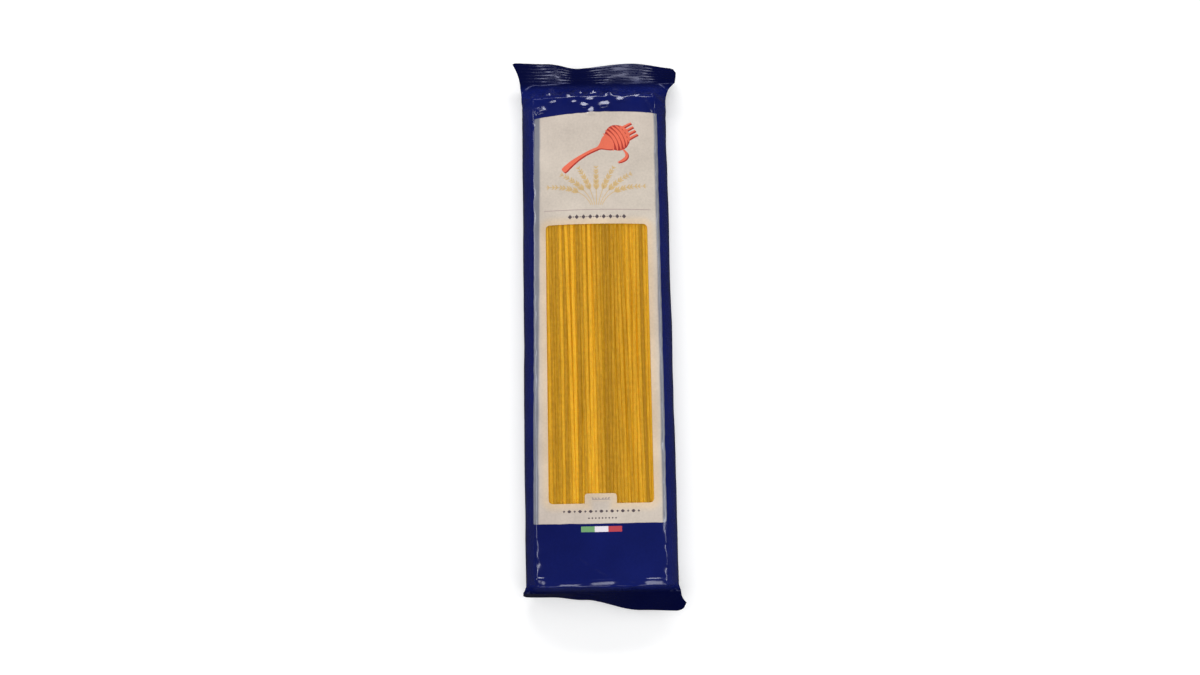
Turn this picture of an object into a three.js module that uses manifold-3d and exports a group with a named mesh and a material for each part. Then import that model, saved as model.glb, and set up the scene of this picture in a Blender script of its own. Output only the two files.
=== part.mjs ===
// A sealed film packet of spaghetti, lying on its back with its printed front up.
// Millimetres. +Z is up, +Y runs towards the packet's top seal, +X is to the right as the front is read.
// The origin is the middle of the packet's bounding box, at the surface that it lies on.
import * as THREE from "three";
import { mergeVertices } from "three/addons/utils/BufferGeometryUtils.js";
import Module from "manifold-3d";

const wasm = await Module();
wasm.setup();

// The packet's cross-section, the same all along the strands
const BODY_HALF_WIDTH = 39.7;
const CROWN_HEIGHT = 27;
const CREASE_HALF_WIDTH = 32.8;
const CREASE_HEIGHT = 23.4;
const BACK_HALF_WIDTH = 33.6;
// The side wall's two Bezier handles, as how far out they lie past the body and how high
const UPPER_BULGE = { out: 0.9, height: 16.8 };
const LOWER_BULGE = { out: 2.6, height: 1.6 };

// The film, modelled thicker than it is so that it stays a sound solid
const FILM_WALL = 1.2;
const FIN_THICKNESS = 1.0;
const CRIMP_PITCH = 1.9;
const CRIMP_DEPTH = 0.28;
const FIN_LENGTH = 13.3;
const PLEAT_DEPTH = 0.45;
const PLEAT_PITCH = 11;
// How far the end wall's curve is rounded at its two ends: 0 is straight, 1 is flat where it meets them
const END_ROUNDING = 0.6;

// The two sealed ends. A fin leaves the end wall at `baseY` and `baseZ`, and droops by an angle in degrees
// that changes from the left ear to the right ear. Each ear has its half width at the fin's root and at its
// cut edge, the power by which it widens on the way, the radius of its corner, and the power by which the end
// wall spreads towards it.
const DROOP_STATIONS = [-45, -26, -9, 20, 45];
const TOP_END = {
  direction: 1,
  shoulderY: 122.6,
  baseY: 134.4,
  baseZ: 12.6,
  droop: [0, 8, 27, 12, 31],
  left: { root: 40.2, edge: 44.4, flare: 1.7, corner: 0.6, spread: 1 },
  right: { root: 44.2, edge: 45.8, flare: 0.5, corner: 3.8, spread: 2.7 },
};
const BOTTOM_END = {
  direction: -1,
  shoulderY: -134,
  baseY: -137.4,
  baseZ: 16,
  droop: [79, 78, 71, 43, 38],
  left: { root: 40.2, edge: 41, flare: 1, corner: 4, spread: 1 },
  right: { root: 40, edge: 42.9, flare: 2.2, corner: 5.5, spread: 1 },
};

// The clear window in the print, with the tab that stands up into its lower edge
const WINDOW = { left: -26.5, right: 27.1, bottom: -92.8, top: 52.4, corner: 2.2 };
const TAB = { halfWidth: 8.1, height: 5, corner: 1.4 };
const PANE_THICKNESS = 0.5;
const PANE_GAP = 0.35;

// The spaghetti: one bundle, with its top layer of strands showing
const STRAND_DIAMETER = 1.8;
const STRAND_PITCH = 1.93;
const STRAND_SIDES = 8;
const BUNDLE_TOP = 122.5;
const BUNDLE_BOTTOM = -132.5;
const BUNDLE_GAP = 0.4;
// How deep below the tops of its strands the core's front lies, how far the strands' uneven ends stand out of
// the core at the least and at the most, and how far a strand sinks, leans and waves. Neighbours lean alike,
// so that none cross.
const CORE_DEPTH = 1.1;
const END_SPREAD = { least: 0.09, most: 0.9 };
const STRAND_SINK = 0.75;
const STRAND_LEAN = 0.8;
const STRAND_WAVE = 0.15;
const LEAN_SPAN = 13;
const STRAND_STATIONS = 5;
const RANDOM_SEED = 31;

// How finely the packet's skin is divided
const PANEL_STEPS = 11;
const SIDE_STEPS = 5;
const RAMP_STEPS = 7;
const BODY_STEPS = 4;
const CAVITY_STEPS = 3;
const STEPS_PER_CRIMP = 2;
const CORNER_SEGMENTS = 6;
const MERGE_DISTANCE = 1e-4;
// How far past the window's ends the pane's skin runs before it is cut to the window's outline
const SKIN_OVERRUN = 2;

const FILM_COLOUR = 0x14205c;
const CLEAR_COLOUR = 0xf2efe6;
const PASTA_COLOUR = 0xd29a35;

// Half of the cross-section, from the middle of the front over the crease and the bulged side to the back
const halfSection = new THREE.Path();
halfSection.moveTo(0, CROWN_HEIGHT);
halfSection.quadraticCurveTo(CREASE_HALF_WIDTH / 2, CROWN_HEIGHT, CREASE_HALF_WIDTH, CREASE_HEIGHT);
halfSection.bezierCurveTo(
  BODY_HALF_WIDTH + UPPER_BULGE.out, UPPER_BULGE.height,
  BODY_HALF_WIDTH + LOWER_BULGE.out, LOWER_BULGE.height,
  BACK_HALF_WIDTH, 0,
);
halfSection.lineTo(0, 0);

const [panelLength, sideLength, backLength] = halfSection.curves.map((curve) => curve.getLength());
const filmLength = panelLength + sideLength + backLength;
// The line down the side wall that becomes the ear's outer edge, placed so that both creases flatten together
const earLength = panelLength + (sideLength * panelLength) / (panelLength + backLength);
const creaseShare = panelLength / earLength;

// Shares of the way from the middle of a face (0) to the ear (1), with one of them on the crease
const shares = [];
for (let i = 0; i < PANEL_STEPS; i += 1) {
  shares.push((creaseShare * i) / PANEL_STEPS);
}
for (let i = 0; i <= SIDE_STEPS; i += 1) {
  shares.push(THREE.MathUtils.lerp(creaseShare, 1, i / SIDE_STEPS));
}

// The packet's body at one place round the section. `inset` draws it in all round, `lower` sinks its crown.
function bodyPoint(share, side, isFront, y, inset = 0, lower = 0) {
  const front = share * earLength;
  const back = filmLength - share * (filmLength - earLength);
  const point = halfSection.getPointAt((isFront ? front : back) / filmLength);
  const x = (point.x * (BODY_HALF_WIDTH - inset)) / BODY_HALF_WIDTH;
  const z = inset + (point.y * (CROWN_HEIGHT - 2 * inset - lower)) / CROWN_HEIGHT;
  return new THREE.Vector3(side * x, y, z);
}

// A value that eases from one station to the next, flat at each
function easedBetween(stations, values, x) {
  let result = x < stations[0] ? values[0] : values.at(-1);
  for (let i = 1; i < stations.length; i += 1) {
    if (x >= stations[i - 1] && x < stations[i]) {
      const t = THREE.MathUtils.smoothstep(x, stations[i - 1], stations[i]);
      result = THREE.MathUtils.lerp(values[i - 1], values[i], t);
    }
  }
  return result;
}

// How far a fin reaches at `x` when its corner is rounded
function reachAt(ear, x, half) {
  const fromEdge = Math.max(0, Math.min(ear.corner, half - x));
  const short = ear.corner - fromEdge;
  return FIN_LENGTH - ear.corner + Math.sqrt(ear.corner ** 2 - short ** 2);
}

// A sealed fin at `along`, a share of its length from its root, with crimps running across it
function finPoint(end, share, side, isFront, along) {
  const ear = side < 0 ? end.left : end.right;
  const half = THREE.MathUtils.lerp(ear.root, ear.edge, along ** ear.flare);
  const x = half * share;
  const reach = along * reachAt(ear, x, half);
  const droop = THREE.MathUtils.degToRad(easedBetween(DROOP_STATIONS, end.droop, side * x));
  const crimp = along > 0 ? CRIMP_DEPTH * Math.cos((2 * Math.PI * reach) / CRIMP_PITCH) : 0;
  const layer = share === 1 ? 0 : (isFront ? 1 : -1) * (FIN_THICKNESS / 2);
  const lift = layer + crimp;
  const y = end.baseY + end.direction * (reach * Math.cos(droop) + lift * Math.sin(droop));
  const z = end.baseZ - reach * Math.sin(droop) + lift * Math.cos(droop);
  return new THREE.Vector3(side * x, y, z);
}

// The end wall between the body's shoulder (0) and the fin's root (1), pleated where the film gathers
function rampPoint(end, share, side, isFront, along) {
  const body = bodyPoint(share, side, isFront, end.shoulderY);
  const root = finPoint(end, share, side, isFront, 0);
  const eased = THREE.MathUtils.lerp(along, THREE.MathUtils.smoothstep(along, 0, 1), END_ROUNDING);
  const point = body.clone().lerp(root, eased);
  const { spread } = side < 0 ? end.left : end.right;
  point.x = THREE.MathUtils.lerp(body.x, root.x, along ** spread);
  point.y = THREE.MathUtils.lerp(end.shoulderY, root.y, along);
  const gathered = Math.sin(Math.PI * along) * (1 - share ** 4);
  const pleat = PLEAT_DEPTH * gathered * Math.cos((2 * Math.PI * point.x) / PLEAT_PITCH);
  point.z += isFront ? pleat : -pleat;
  return point;
}

// A closed ring of points: across the front from the left ear to the right, and back under
function ring(pointAt) {
  const points = [];
  const across = [...shares.slice(1).reverse().map((s) => [s, -1]), ...shares.map((s) => [s, 1])];
  across.forEach(([share, side]) => points.push(pointAt(share, side, true)));
  across
    .slice(1, -1)
    .reverse()
    .forEach(([share, side]) => points.push(pointAt(share, side, false)));
  return points;
}

// A solid through rings of equal count, given from low Y to high Y. Each cap joins the points that face
// each other.
function loft(rings) {
  const count = rings[0].length;
  const half = count / 2;
  const positions = rings.flatMap((points) => points.flatMap((p) => p.toArray()));
  const faces = [];
  for (let r = 0; r + 1 < rings.length; r += 1) {
    for (let i = 0; i < count; i += 1) {
      const next = (i + 1) % count;
      const [a, b, c, d] = [r * count + i, r * count + next, (r + 1) * count + next, (r + 1) * count + i];
      faces.push(a, b, c, a, c, d);
    }
  }
  const last = (rings.length - 1) * count;
  for (let i = 0; i < half; i += 1) {
    const facing = (count - i) % count;
    const nextFacing = count - i - 1;
    if (i > 0) {
      faces.push(i, facing, i + 1);
      faces.push(last + i, last + i + 1, last + facing);
    }
    if (i + 1 < half) {
      faces.push(i + 1, facing, nextFacing);
      faces.push(last + i + 1, last + nextFacing, last + facing);
    }
  }
  return solidFrom(new Float32Array(positions), new Uint32Array(faces));
}

function solidFrom(vertProperties, triVerts) {
  return new wasm.Manifold(new wasm.Mesh({ numProp: 3, vertProperties, triVerts }));
}

function solidFromGeometry(geometry) {
  const bare = geometry.index ? geometry.toNonIndexed() : geometry.clone();
  bare.deleteAttribute("normal");
  bare.deleteAttribute("uv");
  const merged = mergeVertices(bare, MERGE_DISTANCE);
  return solidFrom(
    new Float32Array(merged.attributes.position.array),
    new Uint32Array(merged.index.array),
  );
}

function geometryFrom(solid) {
  const mesh = solid.getMesh();
  const geometry = new THREE.BufferGeometry();
  geometry.setAttribute("position", new THREE.BufferAttribute(new Float32Array(mesh.vertProperties), 3));
  geometry.setIndex(new THREE.BufferAttribute(new Uint32Array(mesh.triVerts), 1));
  return geometry;
}

// A stretch of the body alone, drawn in by `inset` and with its crown `lower`
function bodyStretch(inset, bottom, top, steps, lower = 0) {
  const rings = [];
  for (let i = 0; i <= steps; i += 1) {
    const y = THREE.MathUtils.lerp(bottom, top, i / steps);
    rings.push(ring((share, side, isFront) => bodyPoint(share, side, isFront, y, inset, lower)));
  }
  return loft(rings);
}

// The window's outline, shrunk by `margin`, as a prism that passes through the front alone
function windowPrism(margin) {
  const { left, right, bottom, top, corner } = WINDOW;
  const [x0, x1, y0, y1] = [left + margin, right - margin, bottom + margin, top - margin];
  const r = corner - margin;
  const tabHalf = TAB.halfWidth + margin;
  const tabTop = bottom + TAB.height + margin;
  const t = TAB.corner;
  const shape = new THREE.Shape();
  shape.moveTo(x0 + r, y0);
  shape.lineTo(-tabHalf, y0);
  shape.lineTo(-tabHalf, tabTop - t);
  shape.absarc(-tabHalf + t, tabTop - t, t, Math.PI, Math.PI / 2, true);
  shape.absarc(tabHalf - t, tabTop - t, t, Math.PI / 2, 0, true);
  shape.lineTo(tabHalf, y0);
  shape.absarc(x1 - r, y0 + r, r, -Math.PI / 2, 0, false);
  shape.absarc(x1 - r, y1 - r, r, 0, Math.PI / 2, false);
  shape.absarc(x0 + r, y1 - r, r, Math.PI / 2, Math.PI, false);
  shape.absarc(x0 + r, y0 + r, r, Math.PI, Math.PI * 1.5, false);
  const prism = new THREE.ExtrudeGeometry(shape, {
    depth: CROWN_HEIGHT,
    bevelEnabled: false,
    curveSegments: CORNER_SEGMENTS,
  });
  prism.translate(0, 0, CROWN_HEIGHT / 2);
  return solidFromGeometry(prism);
}

// The pouch: the film skin with both crimped fins, open inside for the strands and cut away at the window
function makePouch() {
  const endRings = (end) => {
    const rings = [];
    for (let i = 0; i < RAMP_STEPS; i += 1) {
      rings.push(ring((share, side, isFront) => rampPoint(end, share, side, isFront, i / RAMP_STEPS)));
    }
    const finSteps = Math.round((STEPS_PER_CRIMP * FIN_LENGTH) / CRIMP_PITCH);
    for (let i = 0; i <= finSteps; i += 1) {
      rings.push(ring((share, side, isFront) => finPoint(end, share, side, isFront, i / finSteps)));
    }
    return rings;
  };
  const bodyRings = [];
  for (let i = 1; i < BODY_STEPS; i += 1) {
    const y = THREE.MathUtils.lerp(BOTTOM_END.shoulderY, TOP_END.shoulderY, i / BODY_STEPS);
    bodyRings.push(ring((share, side, isFront) => bodyPoint(share, side, isFront, y)));
  }
  const outer = loft([...endRings(BOTTOM_END).reverse(), ...bodyRings, ...endRings(TOP_END)]);
  const cavityBottom = BUNDLE_BOTTOM - BUNDLE_GAP;
  const cavityTop = BUNDLE_TOP + BUNDLE_GAP;
  const cavity = bodyStretch(FILM_WALL, cavityBottom, cavityTop, CAVITY_STEPS);
  return outer.subtract(cavity).subtract(windowPrism(0));
}

// The clear pane that closes the window, flush with the pouch
function makeWindowFilm() {
  const [bottom, top] = [WINDOW.bottom - SKIN_OVERRUN, WINDOW.top + SKIN_OVERRUN];
  const skin = bodyStretch(0, bottom, top, 1);
  const under = bodyStretch(PANE_THICKNESS, bottom - SKIN_OVERRUN, top + SKIN_OVERRUN, 1);
  return skin.subtract(under).intersect(windowPrism(PANE_GAP));
}

// Numbers between 0 and 1 that are the same on each run, by a linear congruential generator
function seededRandom(seed) {
  const [multiplier, increment, modulus] = [1664525, 1013904223, 2 ** 32];
  let state = seed;
  return () => {
    state = (state * multiplier + increment) % modulus;
    return state / modulus;
  };
}

// How high the front of a body drawn in by `inset` stands at `x`
function frontHeight(x, inset) {
  const drawnIn = (CREASE_HALF_WIDTH * (BODY_HALF_WIDTH - inset)) / BODY_HALF_WIDTH;
  const fall = (CROWN_HEIGHT - CREASE_HEIGHT) * (x / drawnIn) ** 2;
  return CROWN_HEIGHT - inset - fall;
}

// One strand, leaning and waving a little, at its depth in the top layer
function makeStrand({ x, bottom, top, sink, lean, wave }) {
  const radius = STRAND_DIAMETER / 2;
  const inset = FILM_WALL + BUNDLE_GAP + radius;
  const rings = [];
  for (let i = 0; i < STRAND_STATIONS; i += 1) {
    const along = i / (STRAND_STATIONS - 1);
    const y = THREE.MathUtils.lerp(bottom, top, along);
    const centreX = x + lean * (along - 0.5) + wave * Math.sin(Math.PI * 2 * along);
    const centreZ = frontHeight(centreX, inset) - sink;
    const points = [];
    for (let k = 0; k < STRAND_SIDES; k += 1) {
      const turn = Math.PI - ((k + 0.5) * 2 * Math.PI) / STRAND_SIDES;
      points.push(
        new THREE.Vector3(centreX + radius * Math.cos(turn), y, centreZ + radius * Math.sin(turn)),
      );
    }
    rings.push(points);
  }
  return loft(rings);
}

// The bundle: a core as wide as the packet's inside, with the strands that show fused on along their length
function makeSpaghetti() {
  const random = seededRandom(RANDOM_SEED);
  const inset = FILM_WALL + BUNDLE_GAP;
  const [coreBottom, coreTop] = [BUNDLE_BOTTOM + END_SPREAD.most, BUNDLE_TOP - END_SPREAD.most];
  const unevenness = END_SPREAD.most - END_SPREAD.least;
  const pieces = [bodyStretch(inset, coreBottom, coreTop, CAVITY_STEPS, CORE_DEPTH)];
  const reach = WINDOW.right + STRAND_DIAMETER;
  for (let x = -reach; x <= reach; x += STRAND_PITCH) {
    const bottom = BUNDLE_BOTTOM + unevenness * random();
    const top = BUNDLE_TOP - unevenness * random();
    const sink = STRAND_SINK * random() ** 2;
    const lean = STRAND_LEAN * Math.sin(x / LEAN_SPAN + 1);
    const wave = STRAND_WAVE * Math.cos((2 * x) / LEAN_SPAN);
    pieces.push(makeStrand({ x, bottom, top, sink, lean, wave }));
  }
  return wasm.Manifold.union(pieces);
}

function makeMesh(name, solid, material) {
  const mesh = new THREE.Mesh(geometryFrom(solid), material);
  mesh.name = name;
  return mesh;
}

const printedFilm = new THREE.MeshStandardMaterial({ color: FILM_COLOUR, roughness: 0.3, metalness: 0 });
const clearFilm = new THREE.MeshStandardMaterial({ color: CLEAR_COLOUR, roughness: 0.1, metalness: 0 });
clearFilm.transparent = true;
clearFilm.opacity = 0.25;
const driedPasta = new THREE.MeshStandardMaterial({ color: PASTA_COLOUR, roughness: 0.55, metalness: 0 });

const packet = new THREE.Group();
const pouch = makeMesh("pouch", makePouch(), printedFilm);
packet.add(pouch);
packet.add(makeMesh("window_film", makeWindowFilm(), clearFilm));
packet.add(makeMesh("spaghetti", makeSpaghetti(), driedPasta));

// The ears aren't alike, so the packet is moved to bring the middle of its box over the origin
const box = new THREE.Box3().setFromObject(pouch);
const centre = box.getCenter(new THREE.Vector3());
packet.position.set(-centre.x, -centre.y, -box.min.z);

export default packet;
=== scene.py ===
# A sealed film packet of spaghetti, lying on its back: its looks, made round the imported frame.
# Shapes are worked out in millimetres from the middle of the packet's body, and each mesh is
# turned into metres in the row frame as it is made.
import math

import bpy
import numpy as np
from mathutils import Matrix, Vector
from mathutils.bvhtree import BVHTree


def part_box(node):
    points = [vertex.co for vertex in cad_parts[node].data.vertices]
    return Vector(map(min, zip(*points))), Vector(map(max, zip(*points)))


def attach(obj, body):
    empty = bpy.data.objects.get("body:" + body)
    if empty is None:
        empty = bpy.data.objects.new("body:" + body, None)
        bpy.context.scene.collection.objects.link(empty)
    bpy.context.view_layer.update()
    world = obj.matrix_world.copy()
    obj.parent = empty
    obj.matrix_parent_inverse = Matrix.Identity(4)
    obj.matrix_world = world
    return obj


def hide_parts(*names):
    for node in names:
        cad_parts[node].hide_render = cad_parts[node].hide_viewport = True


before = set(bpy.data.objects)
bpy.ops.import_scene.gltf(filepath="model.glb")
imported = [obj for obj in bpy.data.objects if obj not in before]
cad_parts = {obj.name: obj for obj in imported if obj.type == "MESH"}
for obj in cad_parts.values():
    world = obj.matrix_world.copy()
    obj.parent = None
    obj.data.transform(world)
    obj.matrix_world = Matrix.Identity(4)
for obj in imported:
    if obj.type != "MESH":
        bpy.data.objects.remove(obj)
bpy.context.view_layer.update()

MM = 0.001

# The packet's cross-section, lying on its flat back
BODY_HALF = 39.7
CROWN = 27.0
CREASE = (32.8, 23.4)
BACK_HALF = 33.6
UPPER_BULGE = (BODY_HALF + 0.9, 16.8)
LOWER_BULGE = (BODY_HALF + 2.6, 1.6)
SHARP_CREASE = 0.3
ROUNDED_CREASE = 1.5
# The creases are rounded in patches: how long those are, the noise that they start and end at, and
# how much more often they come low down
ROUNDED_PATCH = 3.6
ROUNDED_FROM = (0.3, 0.75)
MORE_ROUNDED_LOW = 0.35

# The film and its sealed fins
FILM = 0.13
FIN_THICKNESS = 0.45
FIN_LENGTH = 13.3
CRIMP_PITCH = 1.9
CRIMP_DEPTH = 0.14
FAINT_CRIMP = 0.12
PLEAT_DEPTH = 0.45
PLEAT_PITCH = 11.0
END_ROUNDING = 0.6
# How patchy the crimps are: their share of the full depth, how far that varies, and the most it is
PATCHY_CRIMP = (0.65, 0.9, 1.3)
WANDERING_CRIMP = 0.45

# The two ends. An ear has its half width at the fin's root and at its cut edge, the power by
# which it widens between them, the radius of its corner, and the power by which the end wall
# widens towards it. The bites are where the sealing jaws have pressed deepest: the middle and the
# half width of each.
DROOP_STATIONS = (-45, -26, -9, 20, 45)
TOP_END = {
    "direction": 1,
    "shoulder": 122.6,
    "base_y": 134.4,
    "base_z": 12.6,
    "droop": (0, 8, 27, 12, 31),
    "bites": ((-20.0, 7.0), (15.0, 15.0)),
    "left": {"root": 40.2, "edge": 44.4, "flare": 1.7, "corner": 0.6, "spread": 1.0},
    "right": {"root": 44.2, "edge": 45.8, "flare": 0.5, "corner": 3.8, "spread": 2.7},
}
BOTTOM_END = {
    "direction": -1,
    "shoulder": -134.0,
    "base_y": -137.4,
    "base_z": 16.0,
    "droop": (79, 78, 71, 43, 38),
    "bites": ((-10.0, 10.0),),
    "left": {"root": 40.2, "edge": 41.0, "flare": 1.0, "corner": 4.0, "spread": 1.0},
    "right": {"root": 40.0, "edge": 42.9, "flare": 2.2, "corner": 5.5, "spread": 1.0},
}

# The clear window, the printed tab that stands up into it, and the pale label round them
WINDOW = {"left": -26.5, "right": 27.1, "bottom": -92.8, "top": 52.4, "corner": 2.2}
TAB = {"half": 8.1, "top": -87.8, "corner": 1.4}
PANE = 0.1
PANE_DROP = 0.15
LABEL = {"bottom": -102.8, "top": 113.9, "arch": 0.00112, "arch_middle": 16.0}
# Where the label ends past each crease, as its place over y = 0 and its change with y, and the
# width of the grey strip of painted shade along that end, which stands for the shade on the rounded crease
LABEL_LEFT = {"end": 0.7, "slant": -0.0147, "strip": 3.2}
LABEL_RIGHT = {"end": 1.05, "slant": 0.003, "strip": 2.3}

# How far the edges of the label and of its painted shade strips wander, in mm
LABEL_WANDER = 0.12
PAINTED_SHADE_WANDER = 0.25

# Where the film changes towards its top and its bottom end: from and to how far from the middle
CRUMPLED = ((108, 122), (118, 134))
SLACK = ((117, 121), (131, 133))
FIN_ROOTS = ((129, 132), (135, 137))
# The blue is painted darker from these places on: partly the sealed fins' two layers of film, partly
# painted shade on the end walls that face away from the lamps
SEALED_AND_SHADED = ((129, 136), (134.5, 137.5))
STIFF_FINS = ((132.5, 135.5), (136.5, 138.5))
TOP_FIN = (136, 138)
SLACK_GLOSS = 0.05
FIN_GLOSS = 0.2

# How far the film stands out of its plain form: crumpled beside the seals, slack over the body in
# wide and in small waves, puckered along the creases, and dented down the sides
CRUMPLE_TOP = 0.17
CRUMPLE_BOTTOM = 0.04
WIDE_WAVE = 0.14
SMALL_WAVE = 0.04
PUCKER = 0.24
PUCKER_REACH = 1.9
SIDE_DENT = 0.14

# How finely the film is divided across and along
FRONT_STEP = 0.8
CREASE_STEP = 0.5
CREASE_REACH = 2.5
SIDE_STEP = 1.5
BACK_STEP = 6.0
BODY_STEP = 1.3
BODY_END_STEP = 0.6
ENDS_START = (-106.0, 106.0)
RAMP_ROWS = 24
FIN_ROWS = 42
CURVE_POINTS = 240
OUTLINE_POINTS = 3000
WINDOW_FITTING_ROUNDS = 4
SHARP_ANGLE = math.radians(60)

# The film's fine crinkle, with the strength and the depth in metres of its relief, and its colours
FINE_CREASES = 0.12
FINE_RIPPLE = 1.0
FINE_RELIEF = (0.3, 0.0006)
FILM_MOTTLE = 0.4
DEEP_BLUE = (0.0030, 0.0056, 0.074)
LIGHT_BLUE = (0.0066, 0.0128, 0.128)
# Darker blue of the fins' double film, which also paints shade on the end walls beside them
SEALED_AND_SHADED_BLUE = (0.0014, 0.0026, 0.034)
DEEP_CREAM = (0.565, 0.475, 0.42)
LIGHT_CREAM = (0.665, 0.595, 0.50)
WARM_CREAM = (0.72, 0.565, 0.40)
# The grey of the label's side strips is painted shade, standing for the shade where the film rounds over
# the crease
PAINTED_SHADE_GREY = (0.22, 0.225, 0.26)

# The spaghetti
STRAND = 1.8
STRAND_PITCH = 1.61
BUNDLE = (-132.0, 121.5)
LAYERS = 3
LAYER_DROP = 1.65
STRANDS_IN_LAYER = 40
STRAND_STATIONS = 33
STRAND_SIDES = 12
UNDER_FILM = 0.5
FROM_SIDE = 1.1
# How the strands settle: the room that each takes, as a share of its thickness, how much of an
# overlap a round clears, how far a strand rises in it, and how stiff and how wavy a strand is
SETTLING_ROUNDS = 110
ROOM = 1.02
PUSH = 0.4
RISE = 0.01
STIFFNESS = 0.3
BENDS = 5
BUNDLE_SEED = 12
# How unevenly a strand lies: sideways, in depth (the least and what chance adds), in lean (usual
# and spread), in bow, in thickness and at its ends
SCATTER = 0.45
DROP = (0.5, 0.8)
LEAN = (-1.5, 2.0)
BOW = 0.5
THICKNESS_SPREAD = 0.035
UNEVEN_ENDS = 2.2
# The body of strands deep in the bundle: how far its front lies under the crown, its gaps to the
# floor, the sides and the bundle's ends, its ribs, and its division
CORE_DEPTH = 5.6
CORE_FLOOR = 1.0
CORE_FROM_SIDE = 3.2
CORE_FROM_END = 3
CORE_RIB = 0.35
CORE_UNDER = 8
CORE_MIDDLE = 9
CORE_ACROSS = 150
CORE_ALONG = 24
# The strands that lie across the rest: where each crosses the middle, and how far it leans
LEANING = ((-15.0, -5.0), (14.0, -7.0))
# Where strands are darkened with painted shade, as if they lay lower in the bundle: their place across it
# and how much darker they are
PAINTED_SHADE_STRANDS = ((-17.0, 1.0), (-9.2, 1.2), (-4.7, 2.4), (4.8, 2.6), (13.8, 1.0), (23.3, 2.0))
PAINTED_SHADE_HALF = 0.8
# How much of a strand's tone is its own and how much its place's, which changes over so many mm
OWN_TONE = 0.5
PLACE_TONE = 1.2
TONE_PATCH = (3.0, 9.0)
PASTA = ((0.245, 0.112, 0.003), (0.757, 0.448, 0.028))
# The core is coloured lighter than the strands: painted light that lifts the shade in the gaps
CORE_PASTA_PAINTED_LIGHT = ((0.70, 0.36, 0.006), (0.85, 0.48, 0.012))

# The grid of random heights behind all the noise, and how bent and slanted its flat facets are
LATTICE = (101, 203)
FACET_BEND = 0.35
FACET_SLANT = 0.5


def smoothstep(value, low=0.0, high=1.0):
    t = np.clip((value - low) / (high - low), 0, 1)
    return t * t * (3 - 2 * t)


def lerp(a, b, t):
    return a + (b - a) * t


def lattice_cell(u, v, seed):
    """Random heights from -1 to 1 at the corners of the unit cell round u, v, and the place in it."""
    lattice = np.random.default_rng(seed).uniform(-1, 1, LATTICE)
    rows, columns = LATTICE
    i, j = np.floor(u).astype(int), np.floor(v).astype(int)
    corners = [lattice[(i + a) % rows, (j + b) % columns] for a, b in ((0, 0), (1, 0), (0, 1), (1, 1))]
    return corners, u - i, v - j


def soft_noise(x, y, size_x, size_y, seed):
    """Smooth noise from -1 to 1, with bumps of about size_x by size_y."""
    (near, right, far, across), a, b = lattice_cell(x / size_x, y / size_y, seed)
    a, b = smoothstep(a), smoothstep(b)
    return lerp(lerp(near, right, a), lerp(far, across, a), b)


def facets(x, y, size_x, size_y, seed):
    """Noise from -1 to 1 made of flat three-sided facets, as in crumpled film."""
    bent = FACET_BEND * soft_noise(x, y, 2 * size_x, 2 * size_y, seed + 100)
    u, v = x / size_x + FACET_SLANT * y / size_y + bent, y / size_y - bent
    (near, right, far, across), a, b = lattice_cell(u, v, seed)
    first = near + a * (right - near) + b * (far - near)
    second = across + (1 - a) * (far - across) + (1 - b) * (right - across)
    return np.where(a + b < 1, first, second)


class HalfSection:
    """Half of the cross-section. Places along the film run from 0 in the middle of the front,
    over the crease and the bulged side, to self.length in the middle of the back; those on the
    left half are negative. self.ear is the place that a fin's side edge is made of."""

    def __init__(self):
        t = np.linspace(0, 1, CURVE_POINTS)[:, None]
        top, middle, crease = np.array([(0, CROWN), (CREASE[0] / 2, CROWN), CREASE])
        panel = (1 - t) ** 2 * top + 2 * t * (1 - t) * middle + t**2 * crease
        upper, lower, foot = np.array([UPPER_BULGE, LOWER_BULGE, (BACK_HALF, 0)])
        side = (1 - t) ** 3 * crease + 3 * t * (1 - t) ** 2 * upper
        side = side + 3 * t**2 * (1 - t) * lower + t**3 * foot
        back = lerp(foot, np.zeros(2), t)
        self.panel = self.run(panel)[-1]
        self.foot = self.panel + self.run(side)[-1]
        points = np.vstack([panel, side[1:], back[1:]])
        along = self.run(points)
        self.length = along[-1]
        back_length = self.length - self.foot
        front_share = self.panel / (self.panel + back_length)
        self.ear = self.panel + (self.foot - self.panel) * front_share
        self.s = np.linspace(0, self.length, OUTLINE_POINTS)
        outline = [np.interp(self.s, along, points[:, k]) for k in (0, 1)]
        self.x, self.z = self.softened(outline, SHARP_CREASE)
        self.rounded_x, self.rounded_z = self.softened(outline, ROUNDED_CREASE)

    @staticmethod
    def run(points):
        return np.concatenate([[0], np.cumsum(np.linalg.norm(np.diff(points, axis=0), axis=1))])

    def softened(self, outline, softness):
        """The same outline with its creases rounded, as film folds."""
        step = self.s[1]
        reach = int(4 * softness / step)
        kernel = np.exp(-0.5 * (np.arange(-reach, reach + 1) * step / softness) ** 2)
        result = []
        for values, mirror in zip(outline, (-1, 1)):
            before = mirror * values[reach:0:-1]
            after = mirror * values[-2 : -reach - 2 : -1]
            around = np.concatenate([before, values, after])
            result.append(np.convolve(around, kernel / kernel.sum(), "valid"))
        return result

    def at(self, s, rounded=0.0):
        """x and z at places along the film, whose crease is sharp (0) or rounded (1)."""
        sharp = [np.interp(np.abs(s), self.s, values) for values in (self.x, self.z)]
        soft = [np.interp(np.abs(s), self.s, values) for values in (self.rounded_x, self.rounded_z)]
        x, z = (lerp(a, b, rounded) for a, b in zip(sharp, soft))
        return np.sign(s) * x, z

    def under(self, x, past_crease=2):
        """The place along the front that lies over x, at most so many mm past the crease."""
        front = self.s <= self.panel + past_crease
        return np.sign(x) * np.interp(np.abs(x), self.x[front], self.s[front])

    def height(self, x):
        """The height of the front film over x."""
        return self.at(self.under(x))[1]


SECTION = HalfSection()


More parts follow.
